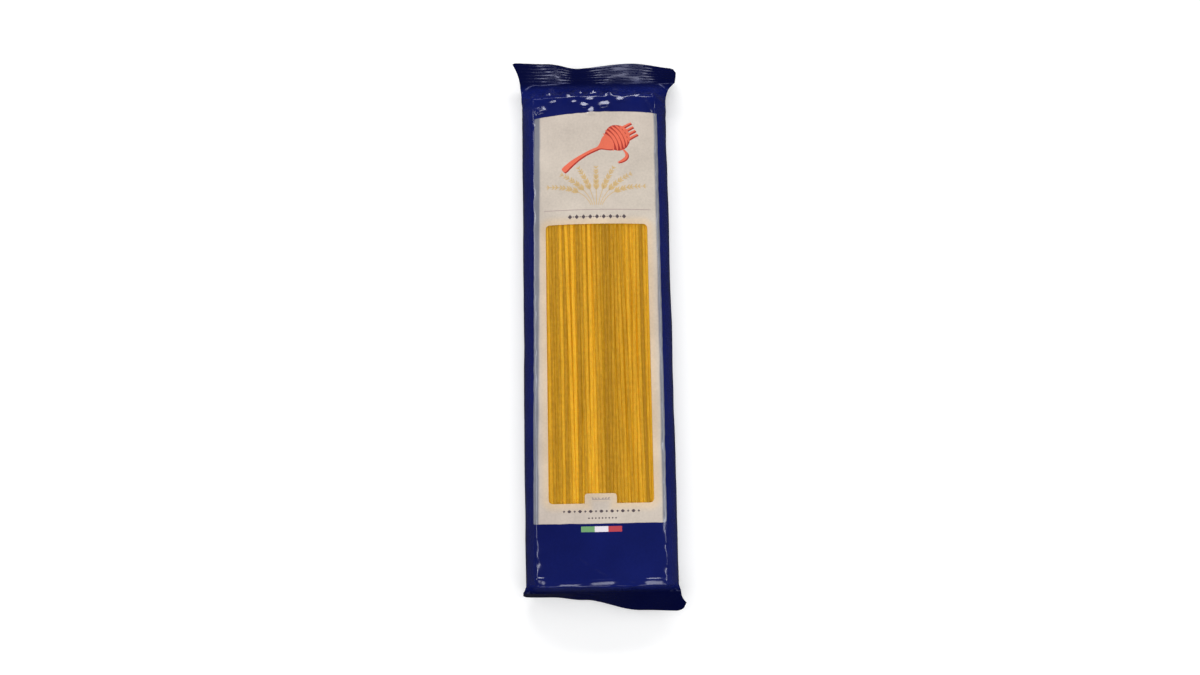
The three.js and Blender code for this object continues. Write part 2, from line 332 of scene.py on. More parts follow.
def divided(breaks, step_at):
    """Numbers from the first break to the last, with each break among them."""
    lines = [breaks[0]]
    for low, high in zip(breaks, breaks[1:]):
        count = max(1, round((high - low) / step_at((low + high) / 2)))
        lines.extend(lerp(low, high, (i + 1) / count) for i in range(count))
    return np.array(lines)


def film_columns():
    """Places round the whole film: across the front from ear to ear, then under the back."""
    panel, ear = SECTION.panel, SECTION.ear
    corners = [WINDOW["left"], -TAB["half"], TAB["half"], WINDOW["right"]]
    folded = [panel - CREASE_REACH, panel, panel + CREASE_REACH]
    mirrored = [-place for place in reversed(folded)]

    def step_at(s):
        if abs(abs(s) - panel) < CREASE_REACH:
            return CREASE_STEP
        return SIDE_STEP if abs(s) > panel else FRONT_STEP

    front = divided([-ear, *mirrored, *SECTION.under(np.array(corners)), *folded, ear], step_at)
    half_back = divided(
        [ear, SECTION.foot, SECTION.length], lambda s: SIDE_STEP if s < SECTION.foot else BACK_STEP
    )
    return front, np.concatenate([half_back[1:], -half_back[-2:0:-1]])


FRONT, BACK = film_columns()
RING = np.concatenate([FRONT, BACK])
IS_FRONT = np.arange(len(RING)) < len(FRONT)
SIDE = np.sign(RING)
SHARE = np.where(
    np.abs(RING) <= SECTION.ear,
    np.abs(RING) / SECTION.ear,
    (SECTION.length - np.abs(RING)) / (SECTION.length - SECTION.ear),
)


def roundness(s, y):
    """Where the creases are rounded and so catch the light, from 0 to 1."""
    patches = soft_noise(np.sign(s), y, 1.0, ROUNDED_PATCH, 21)
    patches += MORE_ROUNDED_LOW * smoothstep(-y, 30, 100)
    near_crease = np.abs(np.abs(s) - SECTION.panel) < 4 * ROUNDED_CREASE
    return smoothstep(patches, *ROUNDED_FROM) * near_crease


def body_points(s, y):
    x, z = SECTION.at(s, roundness(s, y))
    return np.stack([x, y, z], axis=-1)


def ear_values(end, key):
    return np.where(SIDE < 0, end["left"][key], end["right"][key])


def fin_row(end, along):
    """One row of a fin, at a share `along` of its length from its root."""
    half = lerp(ear_values(end, "root"), ear_values(end, "edge"), along ** ear_values(end, "flare"))
    x = half * SHARE
    corner = ear_values(end, "corner")
    short = corner - np.clip(half - x, 0, corner)
    reach = along * (FIN_LENGTH - corner + np.sqrt(corner**2 - short**2))
    droop = np.full_like(x, end["droop"][0], dtype=float)
    for i in range(1, len(DROOP_STATIONS)):
        low, high = DROOP_STATIONS[i - 1], DROOP_STATIONS[i]
        eased = lerp(end["droop"][i - 1], end["droop"][i], smoothstep(SIDE * x, low, high))
        droop = np.where(SIDE * x >= low, eased, droop)
    droop = np.radians(droop)
    bite = sum(np.exp(-(((SIDE * x - middle) / wide) ** 2)) for middle, wide in end["bites"])
    usual, spread, most = PATCHY_CRIMP
    patches = soft_noise(SIDE * x, reach + 30, 6.0, CRIMP_PITCH, 9)
    patchy = np.clip(usual + spread * patches, 0, most)
    depth = CRIMP_DEPTH * smoothstep(along, 0, 0.08) * lerp(FAINT_CRIMP, patchy, np.minimum(bite, 1))
    wandering = reach + WANDERING_CRIMP * soft_noise(SIDE * x, reach, 8.0, 5.0, 10)
    crimp = depth * np.cos(2 * np.pi * wandering / CRIMP_PITCH)
    layer = np.where(SHARE > 0.9999, 0, np.where(IS_FRONT, 1, -1) * FIN_THICKNESS / 2)
    lift = layer + crimp
    y = end["base_y"] + end["direction"] * (reach * np.cos(droop) + lift * np.sin(droop))
    z = end["base_z"] - reach * np.sin(droop) + lift * np.cos(droop)
    return np.stack([SIDE * x, y, z], axis=1)


def ramp_row(end, along):
    """One row of an end wall, between the body's shoulder (0) and the fin's root (1)."""
    body = body_points(RING, np.full_like(RING, end["shoulder"]))
    root = fin_row(end, 0.0)
    row = lerp(body, root, lerp(along, smoothstep(along), END_ROUNDING))
    row[:, 0] = lerp(body[:, 0], root[:, 0], along ** ear_values(end, "spread"))
    row[:, 1] = lerp(end["shoulder"], root[:, 1], along)
    gathered = math.sin(math.pi * along) * (1 - SHARE**4)
    pleat = PLEAT_DEPTH * gathered * np.cos(2 * np.pi * row[:, 0] / PLEAT_PITCH)
    row[:, 2] += np.where(IS_FRONT, pleat, -pleat)
    return row


def rounded_box(x, y, low, high, corner):
    """Distance to a box with rounded corners, negative inside it."""
    over_x = np.abs(x - (low[0] + high[0]) / 2) - (high[0] - low[0]) / 2 + corner
    over_y = np.abs(y - (low[1] + high[1]) / 2) - (high[1] - low[1]) / 2 + corner
    outside = np.hypot(np.maximum(over_x, 0), np.maximum(over_y, 0))
    return outside + np.minimum(np.maximum(over_x, over_y), 0) - corner


def window_distance(x, y):
    """Distance to the window's edge, negative inside the window. The tab isn't window."""
    opening = rounded_box(
        x, y, (WINDOW["left"], WINDOW["bottom"]), (WINDOW["right"], WINDOW["top"]), WINDOW["corner"]
    )
    tab = rounded_box(
        x, y, (-TAB["half"], WINDOW["bottom"] - 10), (TAB["half"], TAB["top"]), TAB["corner"]
    )
    return np.maximum(opening, -tab)


def label_side_distance(points, s):
    """How far inside the label's nearer side end a point is, in mm."""
    y = points[..., 1]
    left, right = (end["end"] + end["slant"] * y for end in (LABEL_LEFT, LABEL_RIGHT))
    return SECTION.panel + np.where(s < 0, left, right) - np.abs(s)


def label_distance(points, s):
    """How far inside the pale label a point is, in mm, negative outside it."""
    x, y = points[..., 0], points[..., 1]
    top = LABEL["top"] - LABEL["arch"] * (x - LABEL["arch_middle"]) ** 2
    inside = np.minimum(label_side_distance(points, s), np.minimum(top - y, y - LABEL["bottom"]))
    return inside + LABEL_WANDER * soft_noise(x, y, 3.0, 3.0, 41)


def painted_shade_strip_distance(points, s):
    """How far inside the label's grey side strips of painted shade a point is, in mm, negative outside
    them.
    """
    wide = np.where(s < 0, LABEL_LEFT["strip"], LABEL_RIGHT["strip"])
    uneven = PAINTED_SHADE_WANDER * soft_noise(points[..., 0], points[..., 1], 4.0, 9.0, 42)
    return wide - label_side_distance(points, s) + uneven


def touching(cells):
    """How many of the marked cells each grid point belongs to."""
    count = np.zeros((cells.shape[0] + 1, cells.shape[1]), int)
    for marked in (cells.astype(int), np.roll(cells, 1, axis=1).astype(int)):
        count[:-1] += marked
        count[1:] += marked
    return count


def fitted_to_window(s, y):
    """The body's grid with the points along the window's edge moved onto it, and its window cells."""

    def middle(values):
        beside = np.roll(values, -1, axis=1)
        return (values[:-1] + values[1:] + beside[:-1] + beside[1:]) / 4

    x, _ = SECTION.at(s)
    window = window_distance(middle(x), middle(y)) < 0
    window &= np.arange(len(RING)) < len(FRONT) - 1
    count = touching(window)
    edge = (count > 0) & (count < 4)
    small = 1e-4
    for _ in range(WINDOW_FITTING_ROUNDS):
        distance = window_distance(x[edge], y[edge])
        slope_x = (window_distance(x[edge] + small, y[edge]) - distance) / small
        slope_y = (window_distance(x[edge], y[edge] + small) - distance) / small
        x[edge] -= distance * slope_x
        y[edge] -= distance * slope_y
    s[edge] = SECTION.under(x[edge])
    return s, y, window


# Folds in the front film: where each starts and ends, and how wide its long side is. The long side
# lies at the tilt that mirrors the lamp beyond that end of the packet.
FOLDS = (
    ((-4.2, 113.0), (0.8, 113.0), 3.8),
    ((-7.8, 116.5), (-1.8, 116.9), 3.0),
    ((0.8, 116.0), (9.8, 117.6), 3.0),
    ((-4.9, 119.8), (0.8, 120.3), 2.0),
    ((-12.4, 118.8), (-8.8, 119.1), 1.6),
    ((11.4, 119.2), (17.4, 120.5), 2.6),
    ((-31.6, 113.9), (-24.4, 115.9), 3.4),
    ((-24.0, 118.2), (-19.0, 120.2), 1.8),
    ((27.0, 121.6), (30.6, 112.6), 2.0),
    ((-10.8, 127.6), (-4.8, 124.4), 1.6),
    ((-4.4, 124.6), (6.0, 127.2), 1.3),
    ((4.8, 124.6), (11.2, 123.9), 1.6),
    ((-17.6, 126.2), (-11.6, 123.4), 1.5),
    ((17.8, 122.9), (27.2, 125.2), 1.1),
    ((-27.4, 125.2), (-21.4, 125.0), 1.1),
    ((29.0, 125.2), (36.4, 123.4), 1.1),
    ((-12.4, -117.6), (-5.4, -123.2), 1.3),
    ((-5.0, -123.0), (4.8, -129.4), 1.3),
    ((-36.4, -129.4), (-26.6, -130.2), 3.2),
    ((-33.0, -133.0), (-29.6, -133.2), 0.9),
    ((-25.0, -132.4), (-7.4, -131.6), 2.0),
    ((-10.0, -131.4), (10.6, -130.6), 2.4),
    ((13.6, -131.0), (16.6, -131.4), 1.2),
    ((18.6, -130.9), (34.4, -131.2), 3.1),
)
LIT_TILT = math.radians(14.6)
SHORT_SIDE = 0.35
STEEPEST = 1.2
FOLD_END = 0.3
FOLD_ROUNDING = 0.1


def fold_place(x, y, start, end):
    """How far along a fold x, y is, as a share of its length, and how far beside its line."""
    (ax, ay), (bx, by) = start, end
    dx, dy = bx - ax, by - ay
    t = np.clip(((x - ax) * dx + (y - ay) * dy) / (dx * dx + dy * dy), 0, 1)
    distance = np.hypot(x - ax - t * dx, y - ay - t * dy)
    return t, np.copysign(distance, (y - ay) * dx - (x - ax) * dy)


def fold(x, y, steepness, start, end, width):
    """The height of one fold at x, y: a ridge with a long flat side, which dies out at both ends."""
    t, beside = fold_place(x, y, start, end)
    slanted = math.hypot(end[0] - start[0], end[1] - start[1]) / (end[0] - start[0])
    reach = width * np.where(beside * steepness > 0, 1, SHORT_SIDE)
    ridge = np.maximum(1 - np.hypot(beside / reach, FOLD_ROUNDING), 0)
    height = width * np.abs(steepness) * min(slanted, STEEPEST)
    return height * ridge * smoothstep(np.minimum(t, 1 - t), 0, FOLD_END)


def folds_height(points, normals):
    """How far the folds stand out of the film, whose own tilt they make up for."""
    on_wall = (points[..., 1] > TOP_END["shoulder"]) | (points[..., 1] < BOTTOM_END["shoulder"])
    tilt = on_wall * np.arctan2(normals[..., 1], np.maximum(normals[..., 2], 0.2))
    steepness = np.tan(np.copysign(LIT_TILT, points[..., 1]) - tilt) / np.cos(tilt)
    steepness = np.clip(steepness, -STEEPEST, STEEPEST)
    return np.max([fold(points[..., 0], points[..., 1], steepness, *shape) for shape in FOLDS], axis=0)


def towards_ends(y, top, bottom):
    """0 over the body, rising to 1 towards each end between the places given for it."""
    return smoothstep(y, *top) + smoothstep(-y, *bottom)


def relief(points, normals, s):
    """How far the film stands out from its plain form, at each point of the grid."""
    x, y, z = points[..., 0], points[..., 1], points[..., 2]
    front = np.where(IS_FRONT, 1 - smoothstep(SHARE, 0.86, 1.0), 0.0)
    height = folds_height(points, normals) * front
    off_floor = smoothstep(z, 0.5, 6)
    crumple = facets(x, y, 6.5, 4.6, 3) + 0.45 * facets(x, y, 3.1, 2.6, 4)
    height += np.where(y > 0, CRUMPLE_TOP, CRUMPLE_BOTTOM) * towards_ends(y, *CRUMPLED) * crumple
    waves = WIDE_WAVE * soft_noise(s, y, 26, 34, 5) + SMALL_WAVE * soft_noise(s, y, 9, 14, 6)
    height += waves * off_floor
    at_crease = np.exp(-(((np.abs(s) - SECTION.panel) / PUCKER_REACH) ** 2))
    lower_half = lerp(0.45, 1.0, smoothstep(-y, -20, 70))
    height += PUCKER * at_crease * lower_half * facets(s, y, 5.0, 5.5, 7)
    down_side = smoothstep(np.abs(s), SECTION.panel, SECTION.panel + 6) * off_floor
    height += SIDE_DENT * down_side * soft_noise(s, y, 7, 11, 8)
    return height * (1 - towards_ends(y, *STIFF_FINS))


def grid_normals(points):
    """Outward normals of the grid, whose rows are rings round the packet."""
    round_ring = np.roll(points, -1, axis=1) - np.roll(points, 1, axis=1)
    normals = np.cross(round_ring, np.gradient(points, axis=0))
    return normals / np.maximum(np.linalg.norm(normals, axis=2, keepdims=True), 1e-9)


class Film:
    """The whole film as one grid of outer points, of which the window's cells are clear."""

    def __init__(self):
        low, high = BOTTOM_END["shoulder"], TOP_END["shoulder"]
        marks = [WINDOW["bottom"], TAB["top"], WINDOW["top"]]
        rows = divided(
            [low, ENDS_START[0], *marks, ENDS_START[1], high],
            lambda y: BODY_STEP if ENDS_START[0] < y < ENDS_START[1] else BODY_END_STEP,
        )
        s, y = np.meshgrid(RING, rows)
        s, y, window = fitted_to_window(s, y)
        steps = (np.arange(FIN_ROWS) + 1) / FIN_ROWS
        ramp = (np.arange(RAMP_ROWS) + 1) / RAMP_ROWS
        bottom = [fin_row(BOTTOM_END, t) for t in steps[::-1]]
        bottom += [ramp_row(BOTTOM_END, t) for t in ramp[::-1]]
        top = [ramp_row(TOP_END, t) for t in ramp] + [fin_row(TOP_END, t) for t in steps]
        plain = np.concatenate([bottom, body_points(s, y), top])
        before, after = len(bottom), len(top)
        self.s = np.concatenate([np.tile(RING, (before, 1)), s, np.tile(RING, (after, 1))])
        self.window = np.pad(window, ((before, after), (0, 0)))
        normals = grid_normals(plain)
        self.points = plain + normals * relief(plain, normals, self.s)[..., None]
        self.points[..., 2] = np.maximum(self.points[..., 2], 0)
        self.shift = self.to_row_frame()
        self.tree = self.search_tree()

    def to_row_frame(self):
        """What moves a place on the packet's body to the row frame, from where the CAD has it."""
        low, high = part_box("pouch")
        middle = (self.points.reshape(-1, 3).min(axis=0) + self.points.reshape(-1, 3).max(axis=0)) / 2
        return np.array([(low[i] + high[i]) / 2 / MM - middle[i] for i in (0, 1)] + [0.0])

    def faces(self, cells):
        i, j = np.nonzero(cells)
        columns = self.points.shape[1]
        a, b = i * columns + j, i * columns + (j + 1) % columns
        return np.stack([a, b, b + columns, a + columns], axis=1).tolist()

    def cut_edge_faces(self):
        """Triangles that close the cut edges of both fins."""
        columns = self.points.shape[1]
        front = list(range(len(FRONT)))
        back = [0, *range(columns - 1, len(FRONT) - 1, -1), len(FRONT) - 1]
        places = SIDE * SHARE
        triangles = []
        i = j = 0
        while i < len(front) - 1 or j < len(back) - 1:
            front_next = i < len(front) - 1 and (
                j == len(back) - 1 or places[front[i + 1]] <= places[back[j + 1]]
            )
            if front_next:
                triangles.append((front[i], front[i + 1], back[j]))
                i += 1
            else:
                triangles.append((front[i], back[j + 1], back[j]))
                j += 1
        triangles = [t for t in triangles if len(set(t)) == 3]
        last = (self.points.shape[0] - 1) * columns
        return [[last + k for k in t] for t in triangles] + [list(reversed(t)) for t in triangles]

    def search_tree(self):
        everywhere = np.ones_like(self.window)
        return BVHTree.FromPolygons([tuple(p) for p in self.points.reshape(-1, 3)], self.faces(everywhere))

    def front_height(self, x, y):
        """The height of the front film over x, y."""
        hit = self.tree.ray_cast(Vector((x, y, 60)), Vector((0, 0, -1)))[0]
        return hit.z


def make_mesh(name, points, faces, values=None):
    """A mesh object with only the points that its faces use, and named numbers at its points."""
    used, index = np.unique(np.concatenate([np.ravel(f) for f in faces]), return_inverse=True)
    placed = (np.asarray(points)[used] + film.shift) * MM
    renumbered, start = [], 0
    for face in faces:
        renumbered.append(index[start : start + len(face)].tolist())
        start += len(face)
    mesh = bpy.data.meshes.new(name)
    mesh.from_pydata(placed.tolist(), [], renumbered)
    for key, numbers in (values or {}).items():
        field = mesh.attributes.new(key, "FLOAT", "POINT")
        field.data.foreach_set("value", np.asarray(numbers, dtype=float).ravel()[used])
    mesh.shade_smooth()
    piece = bpy.data.objects.new(name, mesh)
    bpy.context.scene.collection.objects.link(piece)
    return piece


def thicken(piece, thickness):
    """Gives a film its thickness, inwards, and edges that stay sharp."""
    modifier = piece.modifiers.new("thickness", "SOLIDIFY")
    modifier.thickness = thickness * MM
    modifier.offset = -1
    graph = bpy.context.evaluated_depsgraph_get()
    mesh = bpy.data.meshes.new_from_object(piece.evaluated_get(graph))
    piece.modifiers.clear()
    piece.data = mesh
    mesh.set_sharp_from_angle(angle=SHARP_ANGLE)


def finish_piece(piece, material, slot, *nodes):
    piece.data.materials.clear()
    piece.data.materials.append(material)
    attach(piece, "root")
    if nodes:
        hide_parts(*nodes)


# Shader helpers

def plug(tree, value, socket):
    """Gives a socket a value, or the output of another node."""
    if isinstance(value, bpy.types.NodeSocket):
        tree.links.new(value, socket)
    else:
        socket.default_value = value


def add(tree, kind, settings=None, **inputs):
    """A shader node with its settings and its inputs, whose names have underscores for spaces."""
    node = tree.nodes.new(kind)
    for key, value in (settings or {}).items():
        setattr(node, key, value)
    for key, value in inputs.items():
        plug(tree, value, node.inputs[key.replace("_", " ")])
    return node


def math_node(tree, operation, a, b=0.0, clamp=False):
    """The output of one sum, whose a and b are numbers or other outputs."""
    node = add(tree, "ShaderNodeMath", {"operation": operation, "use_clamp": clamp})
    plug(tree, a, node.inputs[0])
    plug(tree, b, node.inputs[1])
    return node.outputs[0]


def plus(tree, a, b, clamp=False):
    return math_node(tree, "ADD", a, b, clamp)


def minus(tree, a, b):
    return math_node(tree, "SUBTRACT", a, b)


def times(tree, a, b):
    return math_node(tree, "MULTIPLY", a, b)


def mapped(tree, value, low, high, to_low, to_high, smooth=False):
    kind = {"interpolation_type": "SMOOTHSTEP" if smooth else "LINEAR"}
    ends = {"From_Min": low, "From_Max": high, "To_Min": to_low, "To_Max": to_high}
    return add(tree, "ShaderNodeMapRange", kind, Value=value, **ends).outputs["Result"]


def mixed(tree, factor, a, b, blend="MIX"):
    """Two colours mixed. Each is three numbers or an output."""
    node = add(tree, "ShaderNodeMix", {"data_type": "RGBA", "blend_type": blend})
    plug(tree, factor, node.inputs[0])
    sockets = [s for s in node.inputs if s.name in ("A", "B") and s.type == "RGBA"]
    for socket, value in zip(sockets, (a, b)):
        plug(tree, (*value, 1) if isinstance(value, tuple) else value, socket)
    return next(s for s in node.outputs if s.type == "RGBA")


def attribute(tree, name):
    return add(tree, "ShaderNodeAttribute", {"attribute_name": name}).outputs["Fac"]


def noise(tree, scale, detail, stretch=None):
    """Noise laid on the object, `scale` bumps to the metre, drawn out along an axis by `stretch`."""
    place = add(tree, "ShaderNodeTexCoord").outputs["Object"]
    if stretch:
        place = add(tree, "ShaderNodeMapping", Vector=place, Scale=stretch).outputs["Vector"]
    return add(tree, "ShaderNodeTexNoise", Vector=place, Scale=scale, Detail=detail).outputs["Fac"]


def bumped(tree, height, strength, distance):
    bump = add(tree, "ShaderNodeBump", Strength=strength, Distance=distance, Height=height)
    return bump.outputs["Normal"]


def node_group(name, inputs, outputs):
    """A new shader group with its number inputs (and their usual values) and its outputs."""
    tree = bpy.data.node_groups.new(name, "ShaderNodeTree")
    for key, value in inputs.items():
        socket = tree.interface.new_socket(key, in_out="INPUT", socket_type="NodeSocketFloat")
        socket.default_value = value
    for key in outputs:
        tree.interface.new_socket(key, in_out="OUTPUT", socket_type="NodeSocketFloat")
    return tree, tree.nodes.new("NodeGroupInput").outputs, tree.nodes.new("NodeGroupOutput").inputs


def use_group(tree, name, **inputs):
    return add(tree, "ShaderNodeGroup", {"node_tree": groups[name]}, **inputs).outputs


def crinkle_height(tree, creases, ripple):
    """Fine creases and ripple of thin film, as a height. Each is as strong as its number or output."""
    from_fold = math_node(tree, "ABSOLUTE", minus(tree, noise(tree, 190, 3), 0.5))
    crease = math_node(tree, "MAXIMUM", minus(tree, 1.0, times(tree, from_fold, 9.0)), 0.0)
    return plus(tree, times(tree, crease, creases), times(tree, noise(tree, 75, 1), ripple))


def film_crinkle_group():
    """The crinkle that all the packet's films share."""
    tree, given, out = node_group("film_crinkle", {"Creases": 1.0, "Ripple": 1.0}, ["Height"])
    plug(tree, crinkle_height(tree, given["Creases"], given["Ripple"]), out["Height"])
    return tree


def ink_mottle_group():
    """The faint unevenness of printed ink, as a number round 1 that a colour is multiplied by."""
    tree, given, out = node_group("ink_mottle", {"Amount": 0.1}, ["Tone"])
    grain = plus(tree, noise(tree, 60, 2), times(tree, noise(tree, 900, 1), 0.5))
    uneven = times(tree, minus(tree, grain, 0.75), given["Amount"])
    plug(tree, plus(tree, uneven, 1.0), out["Tone"])
    return tree


def pasta_grain_group():
    """Streaks and flour marks of dried pasta, as a tone and a height."""
    tree, given, out = node_group("pasta_grain", {"Streaks": 1.0, "Flour": 1.0}, ["Tone", "Height"])
    streak = minus(tree, noise(tree, 1.0, 3, stretch=(1500, 60, 1500)), 0.5)
    streak = times(tree, streak, given["Streaks"])
    fleck = times(tree, minus(tree, noise(tree, 520, 2), 0.5), given["Flour"])
    plug(tree, plus(tree, streak, fleck), out["Tone"])
    plug(tree, plus(tree, streak, times(tree, fleck, 0.6)), out["Height"])
    return tree


def new_material(name):
    """An empty material, its tree and the socket that its surface goes to."""
    material = bpy.data.materials.new(name)
    material.use_nodes = True
    tree = material.node_tree
    tree.nodes.clear()
    return material, tree, tree.nodes.new("ShaderNodeOutputMaterial").inputs["Surface"]


def principled(tree, surface, **inputs):
    """Gives a material its Principled shader with these inputs."""
    plug(tree, add(tree, "ShaderNodeBsdfPrincipled", **inputs).outputs["BSDF"], surface)


def film_normal(tree):
    """The lie of thin film that is finely creased."""
    crinkle = use_group(tree, "film_crinkle", Creases=FINE_CREASES, Ripple=FINE_RIPPLE)
    return bumped(tree, crinkle["Height"], *FINE_RELIEF)


def own_film_normal(tree):
    """The same lie built without the shared group, for a coat or a Fresnel node."""
    return bumped(tree, crinkle_height(tree, FINE_CREASES, FINE_RIPPLE), *FINE_RELIEF)


def mottled(tree, colour, amount):
    """A colour made uneven as printed ink is."""
    return mixed(tree, 1.0, colour, use_group(tree, "ink_mottle", Amount=amount)["Tone"], "MULTIPLY")


def printed_film_material():
    """Deep blue film with its pale label field, which has a greyer strip of painted shade down each side.
    """
    material, tree, surface = new_material("printed_film")
    blue = mixed(tree, noise(tree, 22, 1), DEEP_BLUE, LIGHT_BLUE)
    # Painted darker towards both ends: double film on the fins and painted shade on the end walls
    blue = mixed(tree, attribute(tree, "sealed_and_shaded"), blue, SEALED_AND_SHADED_BLUE)
    pale = mixed(tree, noise(tree, 16, 1), DEEP_CREAM, LIGHT_CREAM)
    by_window = mapped(tree, attribute(tree, "from_window"), 0.4, 5.5, 1, 0, smooth=True)
    pale = mixed(tree, by_window, pale, WARM_CREAM)
    # The label's sides are painted grey, as the shade on the rounded creases
    in_painted_shade_strip = mapped(tree, attribute(tree, "in_painted_shade_strip"), -0.55, 0.75, 0, 1, smooth=True)
    pale = mixed(tree, in_painted_shade_strip, pale, PAINTED_SHADE_GREY)
    in_label = mapped(tree, attribute(tree, "in_label"), -0.18, 0.18, 0, 1, smooth=True)
    principled(
        tree,
        surface,
        Base_Color=mottled(tree, mixed(tree, in_label, blue, pale), FILM_MOTTLE),
        Roughness=mapped(tree, noise(tree, 130, 2), 0.35, 0.7, 0.15, 0.23),
        Specular_IOR_Level=0.18,
        Specular_Tint=(0.5, 0.55, 1.0, 1),
        Coat_Weight=attribute(tree, "gloss"),
        Coat_Roughness=0.16,
        Normal=film_normal(tree),
        Coat_Normal=own_film_normal(tree),
    )
    return material


def clear_film_material():
    """Clear film: what lies behind shows, under a thin gloss on its outer face."""
    material, tree, surface = new_material("clear_film")
    clear = add(tree, "ShaderNodeBsdfTransparent", Color=(0.985, 0.98, 0.965, 1))
    lie = film_normal(tree)
    gloss = add(tree, "ShaderNodeBsdfGlossy", Color=(1, 1, 1, 1), Roughness=0.13, Normal=lie)
    fresnel = add(tree, "ShaderNodeFresnel", IOR=1.4, Normal=own_film_normal(tree))
    outer_face = minus(tree, 1.0, add(tree, "ShaderNodeNewGeometry").outputs["Backfacing"])
    mix = add(tree, "ShaderNodeMixShader")
    plug(tree, times(tree, fresnel.outputs["Fac"], outer_face), mix.inputs[0])
    plug(tree, clear.outputs["BSDF"], mix.inputs[1])
    plug(tree, gloss.outputs["BSDF"], mix.inputs[2])
    plug(tree, mix.outputs["Shader"], surface)
    return material


def ink_material(name, colour, mottle):
    """Ink on the film, a little less glossy than the bare film."""
    material, tree, surface = new_material(name)
    colour = mottled(tree, colour, mottle)
    principled(tree, surface, Base_Color=colour, Roughness=0.34, Normal=film_normal(tree))
    return material


def spaghetti_painted_glow_material(name, deep, light):
    """Dried durum pasta: amber yellow, streaked along its length, with a dull sheen and a painted glow that
    lightens the shade between strands.
    """
    material, tree, surface = new_material(name)
    grain = use_group(tree, "pasta_grain", Streaks=0.9, Flour=0.5)
    tone = plus(tree, grain["Tone"], times(tree, attribute(tree, "tone"), 0.3))
    principled(
        tree,
        surface,
        Base_Color=mixed(tree, plus(tree, tone, 0.5, clamp=True), deep, light),
        Roughness=mapped(tree, grain["Tone"], -0.4, 0.4, 0.6, 0.45),
        Specular_IOR_Level=0.45,
        # Painted glow: the pasta lights itself a little, so the shaded gaps between strands stay light
        Emission_Color=(0.75, 0.42, 0.01, 1),
        Emission_Strength=0.26,
        Subsurface_Weight=1.0,
        Subsurface_Radius=(1.0, 0.7, 0.2),
        Subsurface_Scale=0.002,
        Normal=bumped(tree, grain["Height"], 0.25, 0.0002),
    )
    return material


def gloss_share(x, y):
    """1 where the film has its full gloss. Beside the seals only its folds do, and the fins have little."""
    fins = FIN_GLOSS * smoothstep(y, *TOP_FIN)
    near_fold = [
        1 - smoothstep(np.abs(fold_place(x, y, start, end)[1]), width, width + 1)
        for start, end, width in FOLDS
    ]
    walls = np.maximum(np.max(near_fold, axis=0), SLACK_GLOSS)
    return lerp(lerp(1, walls, towards_ends(y, *SLACK)), fins, towards_ends(y, *FIN_ROOTS))


def make_pouch():
    """The printed film, with its window cut out, its fins closed and its thickness given."""
    x, y = film.points[..., 0], film.points[..., 1]
    faces = film.faces(~film.window) + film.cut_edge_faces()
    values = {
        "in_label": label_distance(film.points, film.s),
        "in_painted_shade_strip": painted_shade_strip_distance(film.points, film.s),
        "from_window": window_distance(x, y),
        "sealed_and_shaded": towards_ends(y, *SEALED_AND_SHADED),
        "gloss": gloss_share(x, y),
    }
    pouch = make_mesh("printed_film", film.points.reshape(-1, 3), faces, values)
    thicken(pouch, FILM)
    finish_piece(pouch, printed_film_material(), "printed_film", "pouch")


def make_pane():
    """The clear film, laid under the edge of the printed film all round the window."""
    count = touching(film.window)
    near = (count > 0)[:-1] | (count > 0)[1:]
    cells = near | np.roll(near, -1, axis=1)
    points = film.points - grid_normals(film.points) * PANE_DROP
    pane = make_mesh("window_pane", points.reshape(-1, 3), film.faces(cells))
    thicken(pane, PANE)
    finish_piece(pane, clear_film_material(), "clear_film", "window_film")


def side_wall(z):
    """The half width of the inside at height z."""
    side = SECTION.s > SECTION.panel
    order = np.argsort(SECTION.z[side])
    return np.interp(z, SECTION.z[side][order], SECTION.x[side][order]) - FROM_SIDE


def settled(x, z, stays):
    """Strands pushed apart, kept under the film and kept straight. x and z are by station and strand;
    those that stay are only pressed down by the film."""
    radius = STRAND / 2
    same = np.eye(x.shape[1], dtype=bool)
    bends = np.linalg.qr(np.vander(np.linspace(-1, 1, STRAND_STATIONS), BENDS))[0]
    for _ in range(SETTLING_ROUNDS):
        dx = x[:, :, None] - x[:, None, :]
        dz = z[:, :, None] - z[:, None, :]
        distance = np.hypot(dx, dz) + 1e-6
        push = np.clip(STRAND * ROOM - distance, 0, None) / distance * PUSH
        push[:, same] = 0
        push = push * np.where(stays, 0, 1)[None, :, None]
        x = x + (push * dx).sum(axis=2)
        z = z + (push * dz).sum(axis=2)
        for values in (x, z):
            values += STIFFNESS * (bends @ (bends.T @ values) - values)
        limit = side_wall(z) - radius
        x = np.clip(x, -limit, limit)
        z = np.minimum(z + RISE, SECTION.height(x) - UNDER_FILM - radius)
    return x, z


def strand_centres():
    """The spaghetti as layers of long strands with a few that lie across the rest, settled."""
    rng = np.random.default_rng(BUNDLE_SEED)
    along = np.linspace(0, 1, STRAND_STATIONS)
    xs, zs, stays = [], [], []

    def lay(x, drop, lean, bow, across):
        path = x + lean * (along - 0.5) + bow * np.sin(np.pi * along)
        xs.append(path)
        zs.append(SECTION.height(path) - UNDER_FILM - STRAND / 2 - drop)
        stays.append(across)

    for layer in range(LAYERS):
        count = STRANDS_IN_LAYER - layer % 2
        for i in range(count):
            x = (i - (count - 1) / 2) * STRAND_PITCH + rng.normal(0, SCATTER)
            drop = DROP[0] + layer * LAYER_DROP + rng.uniform(0, DROP[1])
            lay(x, drop, rng.normal(*LEAN), rng.normal(0, BOW), False)
    for x, lean in LEANING:
        lay(x, 0.0, lean, rng.normal(0, BOW), True)
    return settled(np.array(xs).T, np.array(zs).T, np.array(stays)), rng


